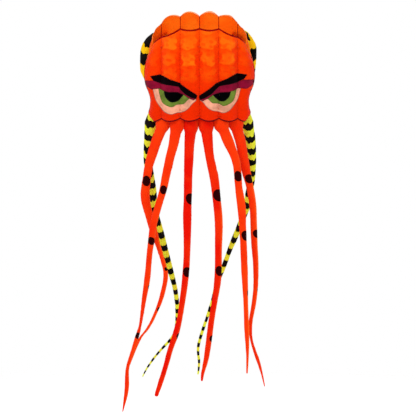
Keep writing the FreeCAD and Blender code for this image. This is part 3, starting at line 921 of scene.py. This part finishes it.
# ---- eyes -----------------------------------------------------------
BROW = (
    (-491, -293), (-392, -275), (-356, -295), (-295, -329), (-198, -362), (-127, -420),
    (-25, -487), (-38, -520), (-81, -510), (-142, -474), (-213, -397), (-326, -382),
    (-387, -362), (-458, -336),
)
EYELID = (
    (-562, -336), (-453, -336), (-387, -357), (-326, -377), (-213, -392), (-142, -469),
    (-81, -503), (-38, -514), (-60, -535), (-110, -512), (-162, -474), (-224, -453),
    (-305, -453), (-356, -438), (-397, -413), (-479, -420), (-525, -387),
)
EYE_WHITE = (
    (-458, -400), (-453, -479), (-433, -540), (-392, -601), (-346, -652), (-285, -675),
    (-224, -658), (-173, -652), (-122, -627), (-71, -571), (-35, -525), (-130, -470),
    (-224, -430), (-330, -420),
)
IRIS = (
    (-402, -405), (-397, -479), (-372, -550), (-326, -586), (-275, -601), (-224, -576),
    (-162, -571), (-127, -540), (-95, -500), (-162, -455), (-224, -430), (-320, -425),
)
PUPIL = (
    (-348, -430), (-341, -494), (-305, -540), (-264, -553), (-213, -535), (-155, -467),
    (-224, -440), (-290, -436),
)
EYE_LAYERS = (("eye_white", EYE_WHITE, True), ("iris", IRIS, True), ("pupil", PUPIL, True),
              ("eyelid", EYELID, False), ("eyebrow", BROW, False))
# The right eye isn't the left one's mirror image: each layer is (stretched, moved) across, and
# raised by so much at its inner and at its outer end.
RIGHT_EYE = {"eyebrow": (1.03, -31.0, -11.0, 17.0), "eyelid": (1.057, -33.0, -11.0, 9.0),
             "eye_white": (0.946, -28.0, 8.0, 20.0), "iris": (0.97, -26.0, 6.0, 16.0),
             "pupil": (0.953, -24.0, 4.0, 14.0)}
EYE_PITCH = 9.0
LAYER_RISE = 1.3
FIRST_LIFT = 0.9         # gap between the face and the lowest layer
CLOTH_THICK = 0.5
EDGE_MARGIN = 3.5        # points inside a patch stay this far from its edge and the creases
# Section of an eye's satin stitching: (way out from the edge, height)
BEAD = ((-2.6, 0.1), (-1.6, 0.75), (-0.2, 0.95), (1.0, 0.7), (1.8, 0.0), (2.0, -0.9))


def cloth_tree(grids):
    """Six cloths as one surface to lay other pieces on."""
    points, faces = join_shapes([(grid, grid_faces(ROWS, COLUMNS).tolist()) for grid in grids])
    return BVHTree.FromPolygons([tuple(p) for p in points], faces)


FACE_TREE = cloth_tree(FACE_GRIDS)
BACK_TREE = cloth_tree(BACK_GRIDS)


def lay_on_face(flat, lift):
    """Points (x, z) laid on the face and raised off it."""
    found = np.empty((len(flat), 3))
    for i, (x, z) in enumerate(flat):
        hits = [FACE_TREE.ray_cast(Vector((x + dx, -900.0, z + dz)), Vector((0, 1, 0)))
                for dx, dz in ((0, 0), (-5, 0), (5, 0), (0, 5), (0, -5))]
        spot = hits[0][0]
        if spot is None:
            spot = FACE_TREE.find_nearest(Vector((x, 100.0, z)))[0]
        normal = Vector((0, 0, 0))
        for hit in hits:
            if hit[0] is not None:
                normal += hit[1] if hit[1].y < 0 else -hit[1]
        normal = normal.normalized() if normal.length else Vector((0, -1, 0))
        rise = lift if np.isscalar(lift) else lift[i]
        found[i] = spot + normal * rise
    return found


def closed_line(points, rounded, pitch=5.0):
    """Evenly spaced points on a closed outline, smooth or with corners."""
    points = np.array(points, float)
    if rounded:
        t = np.linspace(0, 1, 9)[:-1, None]
        before, start, end, after = (np.roll(points, k, axis=0) for k in (1, 0, -1, -2))
        parts = [0.5 * (2 * b + (c - a) * t + (2 * a - 5 * b + 4 * c - d) * t ** 2
                        + (3 * b - a - 3 * c + d) * t ** 3)
                 for a, b, c, d in zip(before, start, end, after)]
        points = np.concatenate(parts)
    loop = np.concatenate([points, points[:1]])
    far = path_length(loop)
    count = int(far[-1] / pitch)
    if rounded:
        places = np.linspace(0, far[-1], count + 1)[:-1]
    else:
        places = np.concatenate([np.linspace(a, b, max(int((b - a) / pitch), 1) + 1)[:-1]
                                 for a, b in zip(far[:-1], far[1:])])
    return np.stack([np.interp(places, far, loop[:, k]) for k in range(2)], -1)


def lattice(low, high, pitch):
    """Multiples of the pitch, so that all the layers of an eye share their points."""
    return np.arange(math.ceil(low / pitch), math.floor(high / pitch) + 1) * pitch


def crease_lines(outline):
    """Upright lines of points where the cloth folds at the ribs."""
    lines = []
    low, high = outline[:, 1].min() + 2, outline[:, 1].max() - 2
    for x in RIB_X:
        if outline[:, 0].min() + 3 < x < outline[:, 0].max() - 3:
            zs = lattice(low, high, EYE_PITCH / 2)
            line = np.stack([np.full(len(zs), x), zs], -1)
            kept = inside_outline(line, outline) & (edge_distance(line, outline) > 2)
            lines.append(line[kept])
    return lines


def eye_patch(side_name, side, layer, outline, rounded, level):
    """One layer of an eye: a thin cloth patch with a satin-stitched border."""
    if side > 0:
        stretch, move, inner_rise, outer_rise = RIGHT_EYE[layer]
        outline = [(x * stretch - move, z + inner_rise + (outer_rise - inner_rise) * -x / 500)
                   for x, z in outline]
    outline = closed_line([(-side * x, z) for x, z in outline], rounded)
    xs = lattice(outline[:, 0].min(), outline[:, 0].max(), EYE_PITCH)
    zs = lattice(outline[:, 1].min(), outline[:, 1].max(), EYE_PITCH)
    inner = np.stack(np.meshgrid(xs, zs), -1).reshape(-1, 2)
    inner = inner[inside_outline(inner, outline)
                  & (edge_distance(inner, outline) > EDGE_MARGIN)]
    for x in RIB_X:
        inner = inner[np.abs(inner[:, 0] - x) > EDGE_MARGIN]
    lift = FIRST_LIFT + level * LAYER_RISE
    creases = np.concatenate(crease_lines(outline) or [np.empty((0, 2))])
    flat, faces = triangulated(outline, np.concatenate([inner, creases]))
    top = lay_on_face(flat, lift + CLOTH_THICK)
    bottom = lay_on_face(flat, lift)
    count = len(top)
    walls = [[b, a, a + count, b + count] for a, b in rim_edges(faces)]
    body = faces + [[c + count for c in face[::-1]] for face in faces] + walls
    name = "%s_%s" % (side_name, layer)
    piece = make_piece(name + "_patch", np.concatenate([top, bottom]), body,
                       [EYE_CLOTHS[layer]], uv=np.concatenate([flat, flat]))
    sew_to_head(piece, name)

    ring = closed_line(outline, False, 3.0)
    ahead = unit(np.roll(ring, -1, axis=0) - np.roll(ring, 1, axis=0))
    out = np.stack([ahead[:, 1], -ahead[:, 0]], -1)
    if inside_outline(ring[:1] + out[:1] * 1.5, outline)[0]:
        out = -out
    border = np.stack([lay_on_face(ring + out * off, lift + CLOTH_THICK + rise)
                       for off, rise in BEAD], 1)
    faces = grid_faces(len(ring) + 1, len(BEAD)) % (len(ring) * len(BEAD))
    far = path_length(np.concatenate([ring, ring[:1]]))[:-1]
    uv = uv_pairs(np.array([off for off, rise in BEAD])[None, :], far[:, None])
    stitching = make_piece(name + "_stitching", border, faces, [EYE_THREADS[layer]], uv=uv)
    sew_to_head(stitching)


for side_name, side in SIDES:
    for level, (layer, outline, rounded) in enumerate(EYE_LAYERS):
        eye_patch(side_name, side, layer, outline, rounded, level)


# ---- tentacles ------------------------------------------------------
ROOT_Z, MIDDLE_Z, LOWER_Z = -765.0, -1700.0, -2600.0
SPLITS = (-1232.5, -2150.0)
AROUND = 36
STATION = 9.0
TENTACLE_NAMES = ["tentacle_%d" % n for n in range(1, 7)]
ARM_NAMES = ["left_striped_arm", "right_striped_arm"]


def section_reader(node):
    """Function that gives (x, y, half width, half depth) of a CAD tube at a height."""
    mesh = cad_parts[node].data
    points = np.empty(len(mesh.vertices) * 3)
    mesh.vertices.foreach_get("co", points)
    points = points.reshape(-1, 3) / MM
    edges = np.empty(len(mesh.edges) * 2, int)
    mesh.edges.foreach_get("vertices", edges)
    start, end = points[edges.reshape(-1, 2)].transpose(1, 0, 2)

    def read(z):
        cut = (start[:, 2] - z) * (end[:, 2] - z) <= 0
        rise = end[cut, 2] - start[cut, 2]
        t = np.where(np.abs(rise) > 1e-6, (z - start[cut, 2]) / np.where(rise == 0, 1, rise), 0)
        ring = start[cut] + (end[cut] - start[cut]) * t[:, None]
        low, high = ring.min(0), ring.max(0)
        return [(low[0] + high[0]) / 2, (low[1] + high[1]) / 2,
                (high[0] - low[0]) / 2, (high[1] - low[1]) / 2]

    return read


def route_of(name, shoulder=None):
    """Rows (z, x, y, half width, half depth) down the whole tentacle, from its nodes."""
    rows = []
    spans = []
    if shoulder:
        low, high = box_mm(shoulder)
        spans.append((shoulder, high[2] - 27.0, low[2] + 2.0))
    for part, top in (("upper", ROOT_Z), ("middle", MIDDLE_Z), ("lower", LOWER_Z)):
        node = "%s_%s" % (name, part)
        spans.append((node, top - 78.0, box_mm(node)[0][2] + 0.5))
    for node, top, end in spans:
        read = section_reader(node)
        for z in np.linspace(top, end, max(int((top - end) / 24), 3)):
            rows.append([z] + read(z))
    rows = np.array(rows)
    rows = rows[np.argsort(-rows[:, 0])]
    if not shoulder:
        root = rows[0] + (rows[0] - rows[2]) * (ROOT_Z - rows[0, 0]) / (rows[0, 0] - rows[2, 0])
        rows = np.concatenate([root[None], rows])
    return rows


# Dark spots: (z, place across from -1 at the left edge to 1 at the right, half width,
# half height)
SPOTS = {
    "tentacle_1": ((-1338, 0.0, 41, 47), (-2226, 0.6, 14, 17), (-2622, 0.7, 9, 20)),
    "tentacle_2": ((-1428, 0.12, 37, 38), (-1940, 0.0, 37, 35), (-2395, 1.0, 13, 20),
                   (-2885, 0.0, 30, 28)),
    "tentacle_3": ((-1519, 0.72, 48, 51), (-2252, 0.5, 44, 45), (-2886, 1.0, 22, 28)),
    "tentacle_4": ((-1486, 0.6, 55, 56), (-2241, 0.35, 38, 46), (-2917, 0.95, 26, 30)),
    "tentacle_5": ((-1293, 0.05, 39, 48), (-1888, 0.75, 40, 46), (-2463, 1.1, 12, 30)),
    "tentacle_6": ((-1320, 0.35, 42, 41), (-1870, 0.85, 38, 38), (-2432, 1.1, 10, 22)),
}
SPOT_GROWTH = 1.1
SPOT_TILT = 0.12
# Bands of the striped arms: (z, band number); each band is black and then yellow.
BANDS = {
    "left_striped_arm": (
        (190, -0.6), (115, 0), (6, 0.5), (-65, 1), (-181, 1.5), (-306, 2), (-745, 5),
        (-887, 6), (-1130, 8), (-1367, 10), (-1733, 13), (-2000, 15), (-2234, 17),
        (-2447, 19), (-2640, 21), (-2880, 24), (-3070, 27), (-3320, 31),
    ),
    "right_striped_arm": (
        (190, -0.3), (150, 0), (73, 0.5), (-20, 1), (-136, 1.5), (-230, 2), (-320, 2.5),
        (-650, 5), (-780, 6), (-1025, 8), (-1250, 10), (-1455, 12), (-1680, 14),
        (-2028, 17), (-2274, 19), (-2613, 22), (-2814, 24), (-2980, 26), (-3147, 28),
        (-3296, 30),
    ),
}
BAND_START = 8.0         # keeps every band number above 0
# How much of the right edge shows its pale, lit-through side, from the root to the tip.
EDGE_GLOW = {
    "tentacle_1": ((-3700, 0.5), (-2200, 0.5), (-1600, 0.2), (-765, 0.15)),
    "tentacle_2": ((-3700, 0.6), (-3300, 0.5), (-2300, 0.35), (-765, 0.2)),
    "tentacle_3": ((-3700, 0.1), (-2700, 0.45), (-1900, 0.1), (-765, 0.2)),
    "tentacle_4": ((-3700, 0.3), (-2300, 0.4), (-1700, 0.9), (-1450, 0.3), (-765, 0.1)),
    "tentacle_5": ((-3700, 1.0), (-2700, 0.9), (-2300, 0.3), (-765, 0.2)),
    "tentacle_6": ((-3700, 0.2), (-2400, 0.7), (-1500, 0.8), (-1300, 0.2), (-765, 0.2)),
}
# How orange each tentacle is, from 0, deep red, to 1.
TONE = {"tentacle_1": 0.62, "tentacle_2": 0.5, "tentacle_3": 0.08, "tentacle_4": 0.22,
        "tentacle_5": 0.66, "tentacle_6": 0.5}
# Height at which each tentacle comes free of its neighbours, and its half width above that.
FLARES = {"tentacle_1": (-778.0, 73.0), "tentacle_2": (-796.0, 71.0),
          "tentacle_3": (-802.0, 74.5), "tentacle_4": (-796.0, 76.5),
          "tentacle_5": (-778.0, 76.5), "tentacle_6": (-768.0, 76.5)}
FLARE_HALF_DEPTH = 46.0
SLACK_START, SLACK_FULL = -1500.0, -2100.0     # below these the tubes flatten and twist
BLUNT = {"tentacle_3": 12.0, "tentacle_4": 10.0}     # length of a rounded tip that isn't 8 mm
TIP_CAP = 0.4            # how far a tip reaches past the last row of its route
ARMS_START = 40.0
# How far the arms lie in behind the head, by height.
TUCKED_IN = ((-740, 0), (-690, 18), (-620, 46), (-520, 60), (-430, 52), (-340, 40), (-280, 18),
             (-220, 0))
SEWN_REACH = 150.0
SEWN_GAP = 19.0


def centre_line(name, table, fine):
    """Points down the middle of a tentacle; an arm leans on the back and is sewn on there."""
    centre = np.stack([np.interp(fine, table[:, 0], table[:, k]) for k in (1, 2)], -1)
    centre = np.insert(centre, 2, fine, axis=1)
    soft = np.hanning(31) / np.hanning(31).sum()
    for k in range(2):
        padded = np.pad(centre[:, k], 15, mode="reflect", reflect_type="odd")
        centre[:, k] = np.convolve(padded, soft, mode="valid")
    if name in TENTACLE_NAMES:
        return centre
    centre[:, 0] -= np.sign(centre[:, 0]) * smooth(TUCKED_IN, fine)
    for row in np.flatnonzero(fine > CHIN_Z):
        x, y, z = centre[row]
        cloth = BACK_TREE.ray_cast(Vector((x, 900.0, z)), Vector((0, -1, 0)))[0]
        if cloth is not None:
            lean = 0.6 * np.interp(z, table[:, 0], table[:, 3]) + 5.0
            centre[row, 1] = max(y, cloth.y + lean)
    spot, way = BACK_TREE.find_nearest(Vector(centre[0]))[:2]
    sewn = np.array(spot + way * math.copysign(SEWN_GAP, way.y))
    return centre + (sewn - centre[0]) * step(fine[0] - SEWN_REACH, fine[0], fine)[:, None]


def stations(centre, fine):
    """Points and places of the rings, and the rings that each length starts and ends at."""
    far = path_length(centre)
    stops = [0.0] + [float(np.interp(-z, -fine, far)) for z in SPLITS] + [float(far[-1])]
    places = np.concatenate([np.linspace(a, b, int((b - a) / STATION) + 1)[:-1]
                             for a, b in zip(stops[:-1], stops[1:])] + [[far[-1]]])
    cuts = [int(np.argmin(np.abs(places - s))) for s in stops]
    line = np.stack([np.interp(places, far, centre[:, k]) for k in range(3)], -1)
    return line, places, cuts


def cross_sections(name, line, side, table, way_round):
    """Half width, half depth and twist of every ring."""
    arm = name in ARM_NAMES
    z, tip = line[:, 2], table[0, 0] - TIP_CAP
    wide = np.interp(z, table[:, 0], table[:, 3]) * np.maximum(side[:, 0], 0.8)
    deep = 0.60 * wide
    if not arm:
        free_z, flare_half_width = FLARES[name]
        flare = step(free_z - 66.0, free_z + 4.0, z)
        wide = wide + (flare_half_width - wide) * flare
        deep = deep + (FLARE_HALF_DEPTH - deep) * flare
        body = np.interp(z, (tip, tip + 700, -1900, 0), (9.0, 20.0, 31.0, 34.0))
        full = np.maximum(wide, np.minimum(body, wide + 9.0))
        thin = 0.52 * full
        slack = step(SLACK_START, SLACK_FULL, z)
        share = np.clip((wide ** 2 - thin ** 2) / np.maximum(full ** 2 - thin ** 2, 1.0), 0, 1)
        twist = np.arccos(np.sqrt(share)) * slack * way_round
        wide = wide + (full - wide) * slack
        deep = deep + (thin - deep) * slack
    ends = path_length(line)
    closing = np.clip((ends[-1] - ends) / BLUNT.get(name, 8.0), 0.06, 1)
    cap = np.sqrt(1 - (1 - closing) ** 2)
    if arm:
        twist = np.zeros(len(z))
        cap = cap * np.sqrt(1 - (1 - np.clip(ends / ARMS_START, 0.02, 1)) ** 2)
        deep = deep * (1 - 0.4 * step(80.0, 0.0, ends))
    return wide * cap, deep * np.maximum(cap, 0.25), twist


# Folds along a tentacle's edges: (height, spacing, seed, waves, how far in they are highest)
EDGE_FOLDS = ((1.5, 30.0, 300, 6, 7), (1.7, 85.0, 340, 5, 18))


def ripples(grid, ends, from_edges, seed):
    """Folds that the seams draw up along both edges, and slow dents all over."""
    total = 0.0
    for edge, distance in enumerate(from_edges):
        for height, length, first_seed, count, high in EDGE_FOLDS:
            fold = waves(ends[:, None, None], length, first_seed + 2 * seed + edge, count)
            total = total + height * fold * distance / high * np.exp(1 - distance / high)
    return total + 1.4 * waves(grid * [1.0, 1.0, 0.35], 90.0, 400 + seed)


def band_numbers(name, grid, wide, turn, z, seed):
    """Band that every point of an arm is in; the bands' joins sag and are ragged."""
    offset = np.cos(turn)[None, :]
    smile = 0.95 * wide * (offset ** 2)
    cusp = -0.4 * wide * np.exp(-(np.abs(offset) / 0.26) ** 1.3)
    ragged = 0.1 * wide * waves(grid, 48.0, 500 + seed)
    heights, numbers = np.array(BANDS[name][::-1], float).T
    return np.interp(z - smile + cusp + ragged, heights, numbers) + BAND_START


def spot_distance(name, around, total, turn, z):
    """Distance from the middle of the nearest spot, 1 at its edge."""
    nearest = np.full(around.shape, 9.0)
    for spot_z, offset, half_width, half_height in SPOTS[name]:
        angle = -math.acos(max(-1.0, min(1.0, offset)))
        place = np.array([np.interp(angle, turn, ring) for ring in around])[:, None]
        apart = np.abs(around - place)
        apart = np.minimum(apart, total - apart)
        high = (z - spot_z + (around - place) * SPOT_TILT) / half_height
        nearest = np.minimum(nearest, np.hypot(apart / half_width, high) / SPOT_GROWTH)
    return nearest


def tentacle_grid(name):
    """All rings of one tentacle, with its values, from the root to the tip."""
    arm = name in ARM_NAMES
    seed = (TENTACLE_NAMES + ARM_NAMES).index(name)
    table = route_of(name, name.replace("arm", "shoulder") if arm else None)[::-1]
    fine = np.linspace(table[-1, 0] if arm else CHIN_Z + 6, table[0, 0] - TIP_CAP, 900)
    line, places, cuts = stations(centre_line(name, table, fine), fine)
    along = unit(np.gradient(line, axis=0))
    side = unit(np.cross(along, [0.0, 1.0, 0.0]))
    back = np.cross(side, along)
    wide, deep, twist = (column[:, None] for column in cross_sections(
        name, line, side, table, 1 if seed % 2 else -1))

    turn = np.linspace(-np.pi, np.pi, AROUND, endpoint=False)
    across = np.cos(turn) * wide
    through = np.sign(np.sin(turn)) * np.abs(np.sin(turn)) ** 1.18 * deep
    c, s = np.cos(twist), np.sin(twist)
    flat = np.stack([across * c - through * s, across * s + through * c], -1)
    grid = (line[:, None, :] + side[:, None, :] * flat[..., :1]
            + back[:, None, :] * flat[..., 1:])
    around = path_length(np.concatenate([grid, grid[:, :1]], 1), 1)
    total, around = around[:, -1:], around[:, :-1]
    from_left = np.minimum(around, total - around)
    from_right = np.abs(around - around[:, AROUND // 2:AROUND // 2 + 1])

    ends = path_length(line)
    calm = np.ones(len(line))
    for cut in cuts[1:-1]:
        calm *= step(0, 30, np.abs(places - places[cut]))
    calm *= np.clip((ends[-1] - ends) / 60, 0.1, 1)
    rise = ripples(grid, ends, (from_left, from_right), seed) * np.clip(wide / 45.0, 0.25, 1.2)
    grid = grid + unit(grid - line[:, None, :]) * (rise * calm[:, None])[..., None]

    z = line[:, 2:]
    if arm:
        values = {"band": band_numbers(name, grid, wide, turn, z, seed)}
    else:
        # Painted light: how much paler the right edge is painted where light shows through it.
        near_edge = np.exp(-(from_right / (0.42 * wide + 2)) ** 2)
        values = {"seam": np.minimum(from_left, from_right) * MM,
                  "spot": spot_distance(name, around, total, turn, z),
                  "tone": np.full(around.shape, TONE[name]),
                  "edge": smooth(EDGE_GLOW[name], z) * near_edge}
    return grid, values, around, total, ends, cuts


def ring_uv(faces, wrapped, ends):
    """Flat place of every face corner; the last face of a ring ends a whole turn on."""
    row, column = faces // AROUND, faces % AROUND
    for near, far in ((0, 1), (3, 2)):
        column[column[:, near] == AROUND - 1, far] = AROUND
    return np.stack([wrapped[row, column], ends[row]], -1).reshape(-1, 2)


def tentacle_lengths(name):
    """Three lengths of one tentacle, each across one hinge."""
    arm = name in ARM_NAMES
    grid, values, around, total, ends, cuts = tentacle_grid(name)
    bodies = ["head"] + ["%s_%s" % (name, part) for part in ("upper", "middle", "lower")]
    for i, hinge in enumerate((ROOT_Z, MIDDLE_Z, LOWER_Z)):
        rows = slice(cuts[i], cuts[i + 1] + 1)
        points = grid[rows]
        faces = grid_faces(len(points), AROUND, closed=True)
        uv = ring_uv(faces, np.concatenate([around[rows], total[rows]], 1), ends[rows])
        caps = []
        if arm and i == 0:
            caps.append(list(range(AROUND))[::-1])
        if i == 2:
            last = (len(points) - 1) * AROUND
            caps.append(list(range(last, last + AROUND)))
        uv = np.concatenate([uv, np.zeros((AROUND * len(caps), 2))])
        kept = {key: value[rows] for key, value in values.items()}
        piece = make_piece(bodies[i + 1] + "_cloth", points, faces.tolist() + caps,
                           [STRIPED if arm else TENTACLE], uv=uv, values=kept)
        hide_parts(bodies[i + 1])
        if arm and i == 0:
            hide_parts(name.replace("arm", "shoulder"))
        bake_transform(piece)


for name in TENTACLE_NAMES + ARM_NAMES:
    tentacle_lengths(name)


# ---- floor, light and camera ----------------------------------------
FLOOR_Z = -3.72


def floor_material():
    """Plain pale floor that fades into the white around it."""
    shade = Shade("pale_floor")
    place = shade.nodes.new("ShaderNodeVectorMath")
    place.operation = "LENGTH"
    shade.feed(place.inputs[0], shade.place())
    fade = shade.span(place.outputs[1], 3.0, 7.5)
    surface = shade.add("BsdfPrincipled", linear(247, 247, 246), Roughness=0.9)
    clear = shade.add("BsdfTransparent")
    shade.add("OutputMaterial", shade.add("MixShader", fade, surface, clear))
    return shade.material


bpy.ops.mesh.primitive_circle_add(vertices=96, radius=8.0, fill_type="NGON",
                                  location=(0.0, 0.0, 0.0))
floor = bpy.context.object
floor.name = "floor"
floor.location = (0.085, 0.2, FLOOR_Z)
floor.data.materials.append(floor_material())

world = bpy.data.worlds.new("studio")
bpy.context.scene.world = world
world.use_nodes = True
white, strength = world.node_tree.nodes["Background"].inputs[:2]
white.default_value = (1.0, 1.0, 1.0, 1.0)
strength.default_value = 1.0
bpy.context.scene.view_settings.view_transform = "Standard"

MIDDLE = Vector((0.085, 0.15, -1.61))


def area_light(name, place, target, size, power):
    light = bpy.data.lights.new(name, "AREA")
    light.shape = "DISK"
    light.size = size
    light.energy = power
    lamp = bpy.data.objects.new(name, light)
    lamp.location = place
    lamp.rotation_euler = (Vector(target) - Vector(place)).to_track_quat("-Z", "Y").to_euler()
    bpy.context.scene.collection.objects.link(lamp)


area_light("key", (-2.6, -4.2, 2.6), (0.0, 0.1, -0.9), 2.4, 130.0)
area_light("fill", (3.4, -3.8, -0.6), (0.0, 0.1, -1.4), 3.0, 40.0)
area_light("above_behind", (0.6, 3.0, 2.8), (0.0, 0.2, -0.2), 2.2, 120.0)

camera_data = bpy.data.cameras.new("camera")
camera_data.lens = 200.0
camera_data.sensor_width = 36.0
camera_data.clip_end = 100.0
camera = bpy.data.objects.new("camera", camera_data)
camera.location = (MIDDLE.x, 0.05 - 4.16 * 200.0 / 36.0, MIDDLE.z)
camera.rotation_euler = (math.radians(90.0), 0.0, 0.0)
bpy.context.scene.collection.objects.link(camera)
bpy.context.scene.camera = camera
